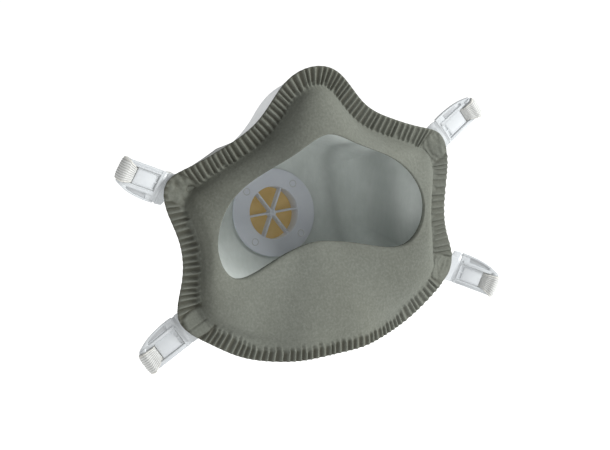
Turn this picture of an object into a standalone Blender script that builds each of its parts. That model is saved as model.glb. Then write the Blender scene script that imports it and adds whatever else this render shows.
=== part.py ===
"""Cup-shaped disposable respirator: two moulded shells with filter media between
them, a foam face seal with a bean-shaped opening, a centre exhalation valve and
two elastic straps held by four hinged strap buckles.

Frame: upright as worn. +Z to the nose, +Y forward (to the valve), -Y to the
wearer, +X to the wearer's right. Origin at the centre of the face opening.
All dimensions below are in millimetres and become metres in make_object().
"""
import math

import bmesh
import bpy
import numpy as np
from mathutils import Matrix, Vector
from mathutils.bvhtree import BVHTree

MM = 0.001
GAP = 0.3                      # clearance between touching pieces

# ---- rim: stations of the right half, nose to chin (x, depth y, height z)
RIM_HALF = [
    (0.0, 5.0, 75.0),          # nose tip
    (14.0, 6.0, 69.0),         # nose shoulder
    (26.5, 7.0, 53.5),         # nose flank
    (41.5, 8.0, 43.5),         # cheekbone
    (57.5, 9.0, 36.5),
    (70.5, 10.0, 30.0),        # upper corner
    (72.5, 6.5, 18.0),
    (69.0, 2.0, 4.0),          # cheek waist
    (69.0, 0.5, -14.5),
    (72.0, -1.5, -33.0),       # lower corner
    (59.5, -5.5, -45.5),       # jaw
    (44.0, -7.0, -55.5),
    (28.0, -10.5, -60.0),
    (14.5, -14.5, -60.5),
    (0.0, -15.0, -60.5),       # chin
]
# ---- bean-shaped breathing opening in the seal, right half, top to bottom
BEAN_HALF = [
    (0.0, -8.0, 47.0), (15.0, -7.5, 40.5), (31.5, -4.0, 31.5), (46.5, -2.5, 19.5),
    (53.5, -5.0, 1.0), (46.0, -4.0, -16.5), (31.0, -1.0, -17.0), (20.0, 1.5, -14.0),
    (10.0, 3.5, -12.0), (0.0, 3.5, -10.5),
]
FLANGE_W = 8.5                 # crimped rim band
CORNER_EXTRA = 3.0             # the band widens under the strap welds
CORNERS_AT = (85.0, 150.0)     # arc length from the nose to the two weld corners
COUNT = 60                     # facets round the shells
SEAL_T = 1.0
SEAL_SOFT_T = 2.4

# layer thicknesses on the rim band and on the cup (start offset, end offset)
LAYERS = {
    "inner_shell": ((0.0, 0.3), (0.0, 0.8)),
    "filter_media": ((0.6, 0.9), (1.1, 2.3)),
    "outer_shell": ((1.2, 1.6), (2.6, 3.4)),
}
LAYER_INSET = 2.0              # shell edges stop short of the seal's edge

# ---- exhalation valve, on an axis that leans down by VALVE_TILT
VALVE_C = np.array([0.0, 51.0, -12.0])     # centre of the wearer-side flange face
VALVE_TILT = math.radians(21.2)
VALVE_R = 22.0                 # wearer-side flange
VALVE_T = 1.3
PORT_R = 13.1                  # breathing port
TUBE_R = 15.0
SHELL_HOLE_R = 16.0
PAD_R = 25.0                   # flat valve pad on the shells
SPOKE_W, SPOKE_A0, SPOKE_A1 = 1.0, 1.6, 5.4
HUB_R = 1.7
SEAT_A = 8.6                   # end of the port tube: the disc's seat
DISC_R, DISC_T, DISC_LIFT = 14.6, 0.6, 1.2
RING_R0, RING_R1 = 15.4, 24.0
COVER_R, COVER_A0, COVER_A1 = 24.0, 9.2, 15.6

# ---- strap buckles: roll-end centre, outward direction, face normal, wing side,
# length of the weld plate with its tongue
HINGE_TO_ROLL = 22.5
BUCKLES = {
    "ur": ((92.3, 15.2, 41.0), (0.833, 0.083, 0.548), (0.045, -0.996, 0.083), 1, 11.0),
    "ul": ((-91.9, 11.4, 39.3), (-0.868, -0.087, 0.487), (0.055, -0.992, -0.078), 1, 10.0),
    "lr": ((95.1, -6.2, -48.0), (0.850, -0.340, -0.403), (-0.273, -0.938, 0.216), 1, 14.0),
    "ll": ((-89.4, -0.4, -50.7), (-0.881, -0.034, -0.472), (-0.135, -0.938, 0.319), -1, 10.0),
}
FRAME_T = 1.6
LOCK_T = 0.9
STRAP_W, STRAP_T = 10.8, 1.1
STRAP_V = -1.0                 # strap centre, off the frame's middle away from the wing
BAR_U, BAR_R = 19.9, 1.35

AXIS = np.array([0.0, math.cos(VALVE_TILT), -math.sin(VALVE_TILT)])
VALVE_UP = np.array([0.0, math.sin(VALVE_TILT), math.cos(VALVE_TILT)])

MATERIALS = {
    # name: (base colour, roughness, metallic, alpha)
    "foam": ((0.22, 0.225, 0.20), 0.95, 0.0, 1.0),
    "shell": ((0.80, 0.82, 0.81), 0.8, 0.0, 1.0),
    "media": ((0.86, 0.87, 0.86), 0.9, 0.0, 1.0),
    "valve_plastic": ((0.62, 0.65, 0.69), 0.35, 0.0, 1.0),
    "valve_cover_plastic": ((0.85, 0.86, 0.87), 0.35, 0.0, 1.0),
    "diaphragm": ((0.55, 0.42, 0.14), 0.5, 0.0, 1.0),
    "aluminium": ((0.75, 0.76, 0.77), 0.35, 1.0, 1.0),
    "buckle_plastic": ((0.86, 0.88, 0.89), 0.3, 0.0, 1.0),
    "elastic": ((0.78, 0.78, 0.76), 0.85, 0.0, 1.0),
}


def unit(v):
    v = np.asarray(v, float)
    return v / np.linalg.norm(v, axis=-1, keepdims=True)


def material(name):
    mat = bpy.data.materials.get(name)
    if mat is None:
        colour, rough, metal, alpha = MATERIALS[name]
        mat = bpy.data.materials.new(name)
        mat.use_nodes = True
        node = mat.node_tree.nodes["Principled BSDF"]
        node.inputs["Base Color"].default_value = (*colour, 1.0)
        node.inputs["Roughness"].default_value = rough
        node.inputs["Metallic"].default_value = metal
        node.inputs["Alpha"].default_value = alpha
        mat.diffuse_color = (*colour, 1.0)
    return mat


def make_object(name, verts, faces, mat, origin=(0.0, 0.0, 0.0)):
    """A mesh object from millimetre points, its origin at a millimetre point."""
    mesh = bpy.data.meshes.new(name)
    org = np.asarray(origin, float)
    mesh.from_pydata([tuple((np.asarray(v, float) - org) * MM) for v in verts], [], faces)
    bm = bmesh.new()
    bm.from_mesh(mesh)
    bmesh.ops.recalc_face_normals(bm, faces=bm.faces)
    bm.to_mesh(mesh)
    bm.free()
    mesh.materials.append(material(mat))
    obj = bpy.data.objects.new(name, mesh)
    obj.location = org * MM
    bpy.context.scene.collection.objects.link(obj)
    return obj


def combine(obj, others, operation):
    """Boolean the other objects into obj, and remove them."""
    for other in others:
        mod = obj.modifiers.new("join", "BOOLEAN")
        mod.operation = operation
        mod.solver = "EXACT"
        mod.object = other
        bpy.context.view_layer.update()
        graph = bpy.context.evaluated_depsgraph_get()
        mesh = bpy.data.meshes.new_from_object(obj.evaluated_get(graph))
        obj.modifiers.clear()
        old = obj.data
        mesh.name = obj.name
        obj.data = mesh
        bpy.data.meshes.remove(old)
        mesh_old = other.data
        bpy.data.objects.remove(other)
        bpy.data.meshes.remove(mesh_old)
    return obj


def closed_curve(half, per_span=16):
    """The closed smooth curve through a half outline and its mirror image."""
    half = np.asarray(half, float)
    pts = np.vstack([half, half[-2:0:-1] * (-1, 1, 1)])
    n = len(pts)
    system = 4 * np.eye(n) + np.eye(n, k=1) + np.eye(n, k=-1)
    system[0, -1] = system[-1, 0] = 1
    slope = np.linalg.solve(system, 3 * (np.roll(pts, -1, 0) - np.roll(pts, 1, 0)))
    out = []
    for i in range(n):
        p0, p1, d0, d1 = pts[i], pts[(i + 1) % n], slope[i], slope[(i + 1) % n]
        for k in range(per_span):
            t = k / per_span
            out.append((2 * t**3 - 3 * t**2 + 1) * p0 + (t**3 - 2 * t**2 + t) * d0
                       + (-2 * t**3 + 3 * t**2) * p1 + (t**3 - t**2) * d1)
    return np.array(out)


def resample(curve, count):
    """count points at equal arc length round a closed curve, and their arc lengths."""
    loop = np.vstack([curve, curve[:1]])
    run = np.concatenate([[0], np.cumsum(np.linalg.norm(np.diff(loop, axis=0), axis=1))])
    at = np.arange(count) * run[-1] / count
    return np.stack([np.interp(at, run, loop[:, k]) for k in range(3)], 1), at, run[-1]


def smooth_ring(values, passes):
    for _ in range(passes):
        values = 0.25 * np.roll(values, 1, 0) + 0.5 * values + 0.25 * np.roll(values, -1, 0)
    return values


def shell_grid():
    """Rows of points over the cup, from the rim edge to the valve hole, with normals."""
    fine, at, total = resample(closed_curve(RIM_HALF), 240)
    tangent = unit(np.roll(fine, -1, 0) - np.roll(fine, 1, 0))
    inward = np.stack([tangent[:, 2], np.zeros(240), -tangent[:, 0]], 1)
    centre = np.array([0.0, 0.0, 0.0])
    flip = np.sign(((centre - fine) * inward).sum(1))
    inward = unit(smooth_ring(unit(inward) * np.median(flip), 60))
    step = 240 // COUNT
    rim, at, inward = fine[::step], at[::step], inward[::step]
    near = np.minimum(at, total - at)
    width = FLANGE_W + CORNER_EXTRA * sum(np.exp(-((near - c) / 11.0) ** 2) for c in CORNERS_AT)
    base_y = SEAL_T + GAP
    edge = rim + inward * LAYER_INSET + (0, base_y, 0)
    bend = rim + inward * width[:, None] + (0, base_y, 0)

    # Where each rim point lands on the valve pad's circle.
    pad_c = VALVE_C + AXIS * (VALVE_T + GAP)
    side = bend[:, 0] - pad_c[0]
    rise = bend[:, 2] - pad_c[2]
    angle = np.arctan2(side / 1.0, rise / 1.05)
    ring_dir = np.sin(angle)[:, None] * np.array([1.0, 0, 0]) + np.cos(angle)[:, None] * VALVE_UP
    pad = pad_c + ring_dir * PAD_R
    hole = pad_c + ring_dir * SHELL_HOLE_R

    # The wall leaves the band steeply at the nose ridge, and leans in elsewhere.
    nose = np.exp(-(rim[:, 0] / 24.0) ** 2) * np.clip((rim[:, 2] - 25.0) / 25.0, 0, 1)
    lean = np.radians(36.0 - 34.0 * nose)
    leave = inward * np.sin(lean)[:, None] + np.array([0, 1.0, 0]) * np.cos(lean)[:, None]
    reach = 27.0 + 6.0 * nose
    span = np.linalg.norm(bend - pad, axis=1)
    p1 = bend + leave * reach[:, None]
    p2 = pad + ring_dir * (0.42 * span)[:, None]
    rows = [edge, bend]
    for t in (0.12, 0.28, 0.46, 0.64, 0.82, 1.0):
        rows.append((1 - t)**3 * bend + 3 * (1 - t)**2 * t * p1
                    + 3 * (1 - t) * t**2 * p2 + t**3 * pad)
    rows.append(hole)
    grid = np.array(rows)                                   # rows, count, 3

    along = np.roll(grid, -1, 1) - np.roll(grid, 1, 1)
    across = np.empty_like(grid)
    across[1:-1] = unit(grid[2:] - grid[1:-1]) + unit(grid[1:-1] - grid[:-2])
    across[0] = grid[1] - grid[0]
    across[-1] = grid[-1] - grid[-2]
    normal = unit(np.cross(along, across))
    if normal[0, :, 1].mean() < 0:
        normal = -normal
    normal[0] = unit(normal[0])
    return rim, inward, width, at, total, grid, normal


def layer_solid(name, grid, normal, offsets, mat):
    (rim0, rim1), (cup0, cup1) = offsets
    rows = len(grid)
    blend = np.array([0.0, 0.0, 0.6] + [1.0] * (rows - 3))[:, None, None]
    lo = grid + normal * (rim0 + (cup0 - rim0) * blend)
    hi = grid + normal * (rim1 + (cup1 - rim1) * blend)
    return loop_solid(name, lo, hi, mat)


def loop_solid(name, lo, hi, mat):
    """A closed solid between two grids of rings that share both borders."""
    rows, count = lo.shape[:2]
    verts = np.vstack([lo.reshape(-1, 3), hi.reshape(-1, 3)])
    top = rows * count
    faces = []
    for r in range(rows - 1):
        for k in range(count):
            a, b = r * count + k, r * count + (k + 1) % count
            c, d = b + count, a + count
            faces.append((a, b, c))
            faces.append((a, c, d))
            faces.append((top + a, top + c, top + b))
            faces.append((top + a, top + d, top + c))
    for k in range(count):
        a, b = k, (k + 1) % count
        faces.append((a, top + a, top + b, b))
        a, b = (rows - 1) * count + k, (rows - 1) * count + (k + 1) % count
        faces.append((a, b, top + b, top + a))
    return make_object(name, verts, faces, mat)


def turned(name, profile, mat, segments=48):
    """A body turned about the valve's axis; profile of (radius, height along the axis)."""
    side = np.array([1.0, 0.0, 0.0])
    verts, faces = [], []
    n = len(profile)
    for s in range(segments):
        a = 2 * math.pi * s / segments
        out = math.cos(a) * side + math.sin(a) * VALVE_UP
        for r, h in profile:
            verts.append(VALVE_C + out * r + AXIS * h)
    for s in range(segments):
        for k in range(n):
            a, b = s * n + k, s * n + (k + 1) % n
            c, d = ((s + 1) % segments) * n + (k + 1) % n, ((s + 1) % segments) * n + k
            faces.append((a, b, c, d))
    return make_object(name, verts, faces, mat)


def disc(name, radius, h0, h1, mat, segments=48):
    side = np.array([1.0, 0.0, 0.0])
    verts, faces = [], []
    for h in (h0, h1):
        for s in range(segments):
            a = 2 * math.pi * s / segments
            verts.append(VALVE_C + (math.cos(a) * side + math.sin(a) * VALVE_UP) * radius + AXIS * h)
    faces.append(tuple(range(segments)))
    faces.append(tuple(range(2 * segments - 1, segments - 1, -1)))
    for s in range(segments):
        t = (s + 1) % segments
        faces.append((s, t, segments + t, segments + s))
    return make_object(name, verts, faces, mat)


def block(name, origin, ax, ay, az, lo, hi, mat):
    """A box in a local frame given by an origin and three unit axes."""
    verts = [origin + ax * x + ay * y + az * z
             for z in (lo[2], hi[2]) for y in (lo[1], hi[1]) for x in (lo[0], hi[0])]
    faces = [(0, 2, 3, 1), (4, 5, 7, 6), (0, 1, 5, 4), (2, 6, 7, 3), (0, 4, 6, 2), (1, 3, 7, 5)]
    return make_object(name, verts, faces, mat)


def prism(name, origin, ax, ay, az, outline, z0, z1, mat, pivot=None):
    """A plate with a polygon outline (x, y) between two heights along az."""
    n = len(outline)
    verts = [origin + ax * x + ay * y + az * z for z in (z0, z1) for x, y in outline]
    faces = [tuple(range(n)), tuple(range(2 * n - 1, n - 1, -1))]
    faces += [(k, (k + 1) % n, n + (k + 1) % n, n + k) for k in range(n)]
    return make_object(name, verts, faces, mat, pivot if pivot is not None else (0, 0, 0))


def ribbon(name, lines, thickness, mat, pivot=None):
    """A closed band: lines holds the left and right edges of its middle surface,
    and the band is thickened along the surface's normal."""
    left, right = (np.asarray(e, float) for e in lines)
    mid = 0.5 * (left + right)
    run = np.gradient(mid, axis=0)
    normal = unit(np.cross(unit(run), unit(right - left)))
    half = thickness / 2
    n = len(mid)
    verts = np.vstack([left - normal * half, right - normal * half,
                       right + normal * half, left + normal * half])
    faces = []
    for k in range(n - 1):
        for a, b in ((0, 1), (1, 2), (2, 3), (3, 0)):
            p, q = a * n + k, b * n + k
            faces.append((p, q, q + 1))
            faces.append((p, q + 1, p + 1))
    faces.append((0, n, 2 * n, 3 * n))
    faces.append((n - 1, 4 * n - 1, 3 * n - 1, 2 * n - 1))
    return make_object(name, verts, faces, mat, pivot if pivot is not None else (0, 0, 0))


def build_shells():
    rim, inward, width, at, total, grid, normal = shell_grid()
    for name, offsets in LAYERS.items():
        layer_solid(name, grid, normal, offsets, "media" if name == "filter_media" else "shell")

    # Face seal: rim edge, rim band, then a bowed membrane to the bean opening.
    bean = resample(closed_curve(BEAN_HALF), COUNT)[0]
    band = rim + inward * width[:, None]
    rows, thick = [rim, band], [SEAL_T, SEAL_T]
    for t, t_mm in ((0.3, SEAL_SOFT_T), (0.65, SEAL_SOFT_T), (1.0, SEAL_SOFT_T)):
        p = band * (1 - t) + bean * t
        rows.append(p + (0, 2.2 * math.sin(math.pi * t) , 0))
        thick.append(t_mm)
    lo = np.array(rows)
    hi = lo + np.array(thick)[:, None, None] * np.array([0, 1.0, 0])
    loop_solid("face_seal", lo, hi, "foam")
    return grid, normal


def outer_surface(grid, normal):
    """The cup's outer face as a ray-casting tree, in millimetres."""
    rows = len(grid)
    blend = np.array([0.0, 0.0, 0.6] + [1.0] * (rows - 3))[:, None, None]
    (_, rim1), (_, cup1) = LAYERS["outer_shell"]
    top = grid + normal * (rim1 + (cup1 - rim1) * blend)
    count = top.shape[1]
    seal_edge = resample(closed_curve(RIM_HALF), count)[0] + (0, SEAL_T, 0)
    verts = [Vector(v) for v in np.vstack([seal_edge[None], top]).reshape(-1, 3)]
    faces = []
    for r in range(rows):
        for k in range(count):
            a, b = r * count + k, r * count + (k + 1) % count
            faces.append((a, b, b + count))
            faces.append((a, b + count, a + count))
    return BVHTree.FromPolygons(verts, faces), top


def front_depth(tree, x, z, y_from=120.0):
    hit = tree.ray_cast(Vector((x, y_from, z)), Vector((0, -1, 0)))
    return hit[0].y if hit[0] is not None else None


def build_valve():
    side = np.array([1.0, 0.0, 0.0])
    base = turned("valve_base", [(PORT_R, 0.0), (VALVE_R, 0.0), (VALVE_R, VALVE_T),
                                 (TUBE_R, VALVE_T), (TUBE_R, SEAT_A), (PORT_R, SEAT_A)],
                  "valve_plastic")
    parts = [disc("hub", HUB_R, SPOKE_A0 - 0.4, SPOKE_A1 + 0.3, "valve_plastic", 16)]
    for k in range(3):
        a = math.radians(60 * k)
        out = math.cos(a) * side + math.sin(a) * VALVE_UP
        cross = np.cross(AXIS, out)
        parts.append(block("spoke", VALVE_C, out, cross, AXIS,
                           (-PORT_R - 0.6, -SPOKE_W / 2, SPOKE_A0),
                           (PORT_R + 0.6, SPOKE_W / 2, SPOKE_A1), "valve_plastic"))
    combine(base, parts, "UNION")

    # Clamp ring on the outside of the shells, under the cover.
    face = VALVE_T + GAP + LAYERS["outer_shell"][1][1] + GAP
    turned("valve_housing", [(RING_R0, face), (RING_R1, face), (RING_R1, face + 1.4),
                             (17.0, face + 1.4), (17.0, SEAT_A + 0.2), (RING_R0, SEAT_A + 0.2)],
           "valve_cover_plastic")

    # Cover: a flat front on a skirt with side vents.
    skirt0 = face + 1.4 + GAP
    cover = disc("valve_cover", COVER_R, skirt0, COVER_A1, "valve_cover_plastic")
    cuts = [disc("cut", COVER_R - 1.6, skirt0 - 1.0, COVER_A1 - 1.6, "valve_cover_plastic")]
    for k in range(6):
        a = math.radians(60 * k + 30)
        out = math.cos(a) * side + math.sin(a) * VALVE_UP
        cross = np.cross(AXIS, out)
        cuts.append(block("vent", VALVE_C, out, cross, AXIS,
                          (COVER_R - 6.0, -6.5, skirt0 + 1.6),
                          (COVER_R + 2.0, 6.5, COVER_A1 - 2.6), "valve_cover_plastic"))
    combine(cover, cuts, "DIFFERENCE")

    centre = VALVE_C + AXIS * (SEAT_A + GAP)
    flap = disc("valve_diaphragm", DISC_R, SEAT_A + GAP, SEAT_A + GAP + DISC_T, "diaphragm", 40)
    flap.data.transform(Matrix.Translation(-Vector(centre * MM)))
    flap.location = centre * MM


def buckle_frame_axes(key):
    end, direction, normal, wing, _ = BUCKLES[key]
    n = unit(normal)
    d = unit(np.array(direction) - n * (n @ np.array(direction)))
    w = np.cross(n, d)
    hinge = np.array(end) - d * HINGE_TO_ROLL
    return hinge, d, w * wing, n


FRAME_OUTLINE = [              # u outward from the hinge line, v across (wing on +v)
    (0.7, -6.3), (20.1, -6.3), (21.2, -5.4), (21.2, 4.6), (21.9, 4.9),
    (21.7, 5.8), (19.2, 7.0), (16.0, 8.0), (12.0, 8.8), (7.0, 9.3), (0.7, 9.3),
]
WINDOW = ((2.4, -4.1), (18.6, 4.1))


def build_buckle(key, tree):
    hinge, d, w, n = buckle_frame_axes(key)
    half = FRAME_T / 2

    frame = prism("buckle_frame_" + key, hinge, d, w, n, FRAME_OUTLINE, -half, half,
                  "buckle_plastic", hinge)
    (u0, v0), (u1, v1) = WINDOW
    window = block("window", hinge, d, w, n, (u0, v0, -3.0), (u1, v1, 3.0), "buckle_plastic")
    combine(frame, [window], "DIFFERENCE")

    lock_pivot = hinge + d * 2.8 - n * 0.3
    prism("buckle_lock_" + key, lock_pivot, d, w, n,
          [(0.0, -3.7), (9.6, -3.7), (9.6, 3.7), (0.0, 3.7)],
          -LOCK_T / 2, LOCK_T / 2, "buckle_plastic", lock_pivot)

    # Strap end: along the front, round the end bar, down into the window.
    run = [(2.2 + 1.8 * k, -2.15) for k in range(9)] + [(BAR_U - 1.2, -2.25)]
    radius = BAR_R + 0.35 + STRAP_T / 2
    for k in range(9):
        a = math.radians(-80 + 22.0 * k)
        run.append((BAR_U + radius * math.cos(a) * 1.05, radius * math.sin(a)))
    run += [(17.4, 1.75), (16.2, 0.95), (15.3, 0.0), (14.8, -0.8)]
    run = np.array(run)
    width = np.full(len(run), STRAP_W / 2)
    width[-5:] = (4.9, 4.3, 3.6, 3.5, 3.4)
    mid_v = np.full(len(run), STRAP_V)
    mid_v[-5:] = (-0.7, -0.4, -0.1, 0.0, 0.0)
    left = np.array([hinge + d * u + n * h + w * (v - b)
                     for (u, h), v, b in zip(run, mid_v, width)])
    right = np.array([hinge + d * u + n * h + w * (v + b)
                      for (u, h), v, b in zip(run, mid_v, width)])
    ribbon("strap_end_" + key, (left, right), STRAP_T, "elastic", hinge)

    # Weld plate: from the hinge line inward, laid on the band's outer face.
    back = -d
    length = BUCKLES[key][4]
    best = None
    for k in range(-60, 61):
        a = math.radians(k)
        slope = back * math.cos(a) + n * math.sin(a)        # tilts toward the wearer
        up = -n * math.cos(a) + back * math.sin(a)          # the plate's front side
        ok = True
        for u in np.linspace(0.8, length, 12):
            for v in (-6.0, -3.0, 0.0, 3.0, 6.0):
                p = hinge + slope * u + w * v - up * 0.6
                y = front_depth(tree, p[0], p[2])
                if y is not None and p[1] < y + 0.35:
                    ok = False
                    break
            if not ok:
                break
        if ok:
            best = (slope, up)
    slope, up = best
    prism("buckle_base_" + key, hinge, slope, w, up,
          [(0.7, -6.3), (length - 1.0, -6.3), (length, -5.3), (length, 5.3),
           (length - 1.0, 6.3), (0.7, 6.3)],
          -0.6, 0.6, "buckle_plastic")
    return hinge, d, w, n, slope, up


def strap_ends(left_key, right_key, places):
    """Where the bands leave the weld plates: middle point and upward width direction."""
    out = []
    for key in (left_key, right_key):
        hinge, d, w, n, slope, up = places[key]
        out.append((hinge + slope * 3.0 + up * 2.2 + w * STRAP_V, w if w[2] > 0 else -w))
    return out


def build_upper_strap(places, tree, z_mid=21.0, steps=40):
    """The upper band, laid taut over the front of the cup above the valve."""
    (p0, w0), (p1, w1) = strap_ends("ul", "ur", places)
    edges = []
    for sign in (-1, 1):
        a = p0 + w0 * sign * STRAP_W / 2
        b = p1 + w1 * sign * STRAP_W / 2
        line = [a]
        for k in range(1, steps):
            t = k / steps
            bell = math.sin(math.pi * t) ** 0.8
            x = a[0] * (1 - t) + b[0] * t
            z = (a[2] * (1 - t) + b[2] * t) * (1 - bell) + (z_mid + sign * STRAP_W / 2) * bell
            y = front_depth(tree, x, z)
            line.append(np.array([x, (y if y is not None else -50.0) + 2.8, z]))
        line.append(b)
        line = np.array(line)
        keep = []                       # taut: the convex hull of the depths
        for p in line:
            while len(keep) > 1:
                o, q = keep[-2], keep[-1]
                if (q[0] - o[0]) * (p[1] - o[1]) - (q[1] - o[1]) * (p[0] - o[0]) >= 0:
                    keep.pop()
                else:
                    break
            keep.append(p)
        keep = np.array(keep)
        line[:, 1] = np.interp(line[:, 0], keep[:, 0], keep[:, 1])
        edges.append(line)
    ribbon("strap_upper", edges, STRAP_T, "elastic")


def build_lower_strap(places, steps=30, bend=5.0):
    """The lower band, turned flat under the chin of the cup and straight to the buckles."""
    (p0, w0), (p1, w1) = strap_ends("ll", "lr", places)
    middle = {-1: np.array([0.0, 20.5, -52.6]), 1: np.array([0.0, 31.2, -52.2])}
    edges = []
    for sign in (-1, 1):
        a = p0 + w0 * sign * STRAP_W / 2
        b = p1 + w1 * sign * STRAP_W / 2
        line = []
        for k in range(steps + 1):
            s = 2 * k / steps - 1
            f = (math.sqrt((s * bend) ** 2 + 1) - 1) / (math.sqrt(bend ** 2 + 1) - 1)
            end = a if s < 0 else b
            point = middle[sign] * (1 - f) + end * f
            point[0] = end[0] * abs(s)
            line.append(point)
        edges.append(np.array(line))
    ribbon("strap_lower", edges, STRAP_T, "elastic")


def build_nose_clip(top):
    """Aluminium strip bent over the nose bridge, outside the shell."""
    count = top.shape[1]
    order = [k % count for k in range(-7, 8)]
    a, b = [], []
    for k in order:
        p, q = top[2, k], top[3, k]
        nrm = None
        lo, hi = p * 0.75 + q * 0.25, p * 0.15 + q * 0.85
        a.append(lo)
        b.append(hi)
    a, b = np.array(a), np.array(b)
    mid = 0.5 * (a + b)
    run = unit(np.gradient(mid, axis=0))
    nrm = unit(np.cross(run, unit(b - a)))
    if (nrm[7] @ np.array([0, 0, 1.0])) < 0:
        nrm = -nrm
    wide = unit(b - a)
    a = mid - wide * 2.5 + nrm * 0.95
    b = mid + wide * 2.5 + nrm * 0.95
    ribbon("nose_clip", (a, b), 0.8, "aluminium")


def main():
    for obj in list(bpy.data.objects):
        bpy.data.objects.remove(obj, do_unlink=True)
    grid, normal = build_shells()
    tree, top = outer_surface(grid, normal)
    build_valve()
    places = {key: build_buckle(key, tree) for key in BUCKLES}
    build_upper_strap(places, tree)
    build_lower_strap(places)
    build_nose_clip(top)
    for obj in bpy.data.objects:
        obj.data.shade_smooth()
        obj.data.set_sharp_from_angle(angle=math.radians(35))


main()
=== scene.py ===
import math

import bmesh
import bpy
import numpy as np
from mathutils import Matrix, Vector
from mathutils.bvhtree import BVHTree


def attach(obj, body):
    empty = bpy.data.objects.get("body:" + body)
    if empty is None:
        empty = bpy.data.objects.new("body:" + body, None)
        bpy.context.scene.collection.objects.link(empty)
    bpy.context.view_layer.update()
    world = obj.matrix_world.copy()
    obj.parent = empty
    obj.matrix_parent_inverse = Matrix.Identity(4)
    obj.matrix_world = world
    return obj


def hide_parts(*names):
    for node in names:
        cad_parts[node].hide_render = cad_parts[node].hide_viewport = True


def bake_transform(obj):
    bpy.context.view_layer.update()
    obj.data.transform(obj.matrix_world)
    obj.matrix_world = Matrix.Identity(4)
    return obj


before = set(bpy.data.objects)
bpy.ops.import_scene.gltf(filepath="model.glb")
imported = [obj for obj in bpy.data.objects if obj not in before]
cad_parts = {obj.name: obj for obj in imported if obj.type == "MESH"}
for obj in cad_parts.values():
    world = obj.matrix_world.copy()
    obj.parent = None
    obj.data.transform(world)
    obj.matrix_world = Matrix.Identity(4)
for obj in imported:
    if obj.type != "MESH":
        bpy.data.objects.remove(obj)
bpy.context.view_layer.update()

MM = 0.001
scene = bpy.context.scene
scene.view_settings.view_transform = "Standard"
scene.view_settings.look = "None"

# ------------------------------------------------------------------ the mask's own design numbers (mm)
RIM_HALF = [(0.0, 5.0, 75.0), (14.0, 6.0, 69.0), (26.5, 7.0, 53.5), (41.5, 8.0, 43.5), (57.5, 9.0, 36.5),
            (70.5, 10.0, 30.0), (72.5, 6.5, 18.0), (69.0, 2.0, 4.0), (69.0, 0.5, -14.5), (72.0, -1.5, -33.0),
            (59.5, -5.5, -45.5), (44.0, -7.0, -55.5), (28.0, -10.5, -60.0), (14.5, -14.5, -60.5), (0.0, -15.0, -60.5)]
BEAN_HALF = [(0.0, -8.0, 47.0), (15.0, -7.5, 40.5), (31.5, -4.0, 31.5), (46.5, -2.5, 19.5), (53.5, -5.0, 1.0),
             (46.0, -4.0, -16.5), (31.0, -1.0, -17.0), (20.0, 1.5, -14.0), (10.0, 3.5, -12.0), (0.0, 3.5, -10.5)]
FLANGE_W, CORNER_EXTRA, CORNERS_AT = 8.5, 3.0, (85.0, 150.0)
SEAL_T, SEAL_SOFT_T, GAP, LAYER_INSET = 1.0, 2.4, 0.3, 2.0
LAYERS = {"inner_shell": ((0.0, 0.3), (0.0, 0.8)), "filter_media": ((0.6, 0.9), (1.1, 2.3)), "outer_shell": ((1.2, 1.6), (2.6, 3.4))}
VALVE_C = np.array([0.0, 51.0, -12.0]); TILT = math.radians(21.2)
AXIS = np.array([0.0, math.cos(TILT), -math.sin(TILT)]); VUP = np.array([0.0, math.sin(TILT), math.cos(TILT)])
SIDE = np.array([1.0, 0.0, 0.0])
VALVE_T, SHELL_HOLE_R, PAD_R, SEAT_A = 1.3, 16.0, 25.0, 8.6
HINGE_TO_ROLL = 22.5
BUCKLES = {
    "ur": ((92.3, 15.2, 41.0), (0.833, 0.083, 0.548), (0.045, -0.996, 0.083), 1),
    "ul": ((-91.9, 11.4, 39.3), (-0.868, -0.087, 0.487), (0.055, -0.992, -0.078), 1),
    "lr": ((95.1, -6.2, -48.0), (0.850, -0.340, -0.403), (-0.273, -0.938, 0.216), 1),
    "ll": ((-89.4, -0.4, -50.7), (-0.881, -0.034, -0.472), (-0.135, -0.938, 0.319), -1),
}
STRAP_W, STRAP_T, STRAP_V, BAR_U, BAR_R = 10.8, 1.1, -1.0, 19.9, 1.35
RNG = np.random.RandomState(7)


def unit(v):
    v = np.asarray(v, float)
    return v / np.maximum(np.linalg.norm(v, axis=-1, keepdims=True), 1e-12)


def closed_curve(half, per_span=24):
    half = np.asarray(half, float)
    pts = np.vstack([half, half[-2:0:-1] * (-1, 1, 1)])
    n = len(pts)
    system = 4 * np.eye(n) + np.eye(n, k=1) + np.eye(n, k=-1)
    system[0, -1] = system[-1, 0] = 1
    slope = np.linalg.solve(system, 3 * (np.roll(pts, -1, 0) - np.roll(pts, 1, 0)))
    out = []
    for i in range(n):
        p0, p1, d0, d1 = pts[i], pts[(i + 1) % n], slope[i], slope[(i + 1) % n]
        for k in range(per_span):
            t = k / per_span
            out.append((2 * t**3 - 3 * t**2 + 1) * p0 + (t**3 - 2 * t**2 + t) * d0 + (-2 * t**3 + 3 * t**2) * p1 + (t**3 - t**2) * d1)
    return np.array(out)


def resample(curve, count):
    loop = np.vstack([curve, curve[:1]])
    run = np.concatenate([[0], np.cumsum(np.linalg.norm(np.diff(loop, axis=0), axis=1))])
    at = np.arange(count) * run[-1] / count
    return np.stack([np.interp(at, run, loop[:, k]) for k in range(3)], 1), at, run[-1]


def smooth_ring(values, passes):
    for _ in range(passes):
        values = 0.25 * np.roll(values, 1, 0) + 0.5 * values + 0.25 * np.roll(values, -1, 0)
    return values


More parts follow.
